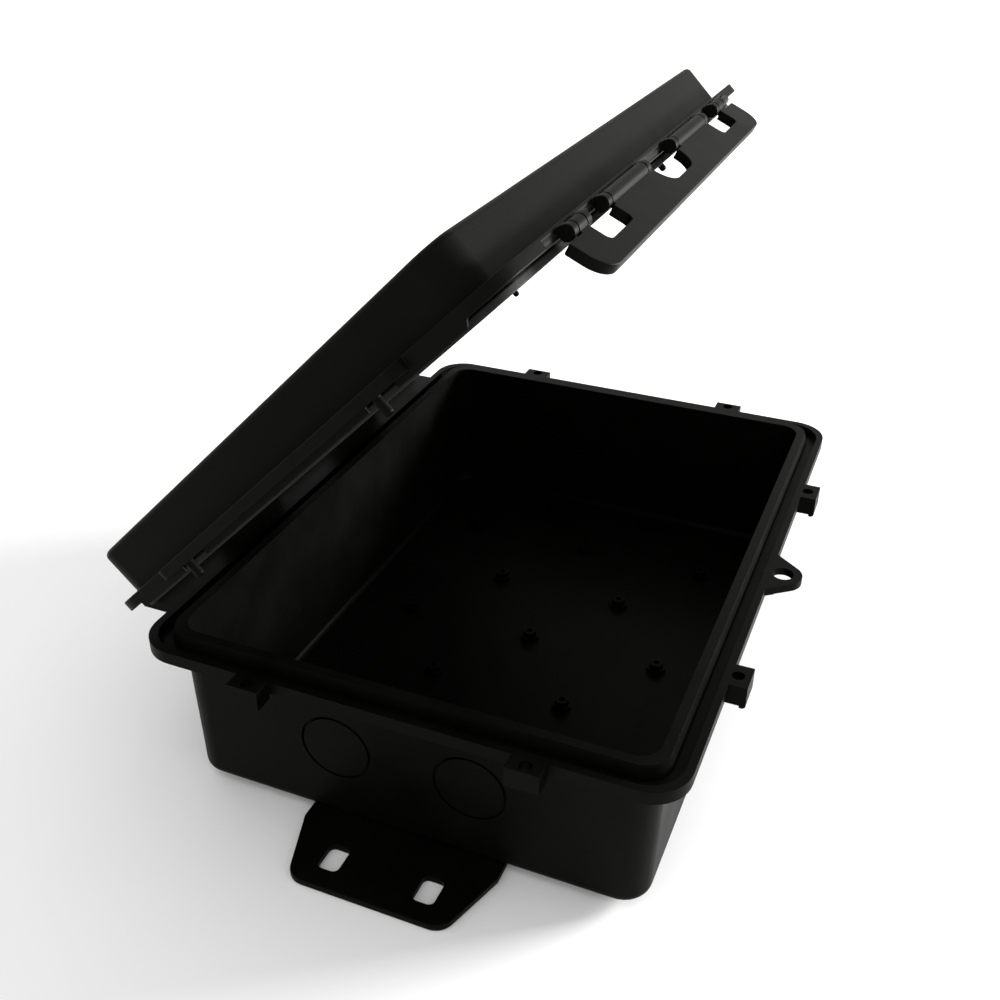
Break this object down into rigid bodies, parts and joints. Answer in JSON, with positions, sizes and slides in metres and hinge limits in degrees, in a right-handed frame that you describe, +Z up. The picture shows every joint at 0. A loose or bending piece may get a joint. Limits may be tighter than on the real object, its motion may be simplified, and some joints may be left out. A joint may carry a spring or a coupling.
{
  "type": "equipment enclosure",
  "caption": "Black moulded plastic weatherproof box: open hinged lid, latch flap on its free edge, padlock eye, slotted mounting tabs",
  "frame": {"origin": "centre of the underside of the mounting plate, which is the mounting plane", "axes": "X from the hinge side to the latch side, Y from the knockout end to the far end, Z up out of the mounting plane"},
  "size_m": [0.256, 0.3532, 0.2563],
  "materials": {
    "black_plastic": "satin",
    "lid_plastic": "satin",
    "seal_rubber": "matte",
    "pin_plastic": "satin",
    "screw_steel": "brushed"
  },
  "bodies": {
    "base": {"tub": "black_plastic", "hinge_pin": "screw_steel", "mounting_plate": "black_plastic", "plate_screws": "screw_steel"},
    "lid": {"lid": "lid_plastic", "lid_gasket": "seal_rubber", "latch_pin_near_end": "pin_plastic", "latch_pin_near_inner": "pin_plastic", "latch_pin_far_inner": "pin_plastic", "latch_pin_far_end": "pin_plastic"},
    "latch_flap": {"latch_flap": "lid_plastic"}
  },
  "joints": [
    {"name": "lid_hinge", "type": "hinge", "parent": "base", "child": "lid", "pos_m": [-0.1268, 0, 0.079], "axis": [0, -1, 0], "range_deg": [-45.2, 134.8]},
    {"name": "latch_flap_pivot", "type": "hinge", "parent": "lid", "child": "latch_flap", "pos_m": [0.04641, 0, 0.24889], "axis": [0, -1, 0], "range_deg": [-20, 110]}
  ]
}
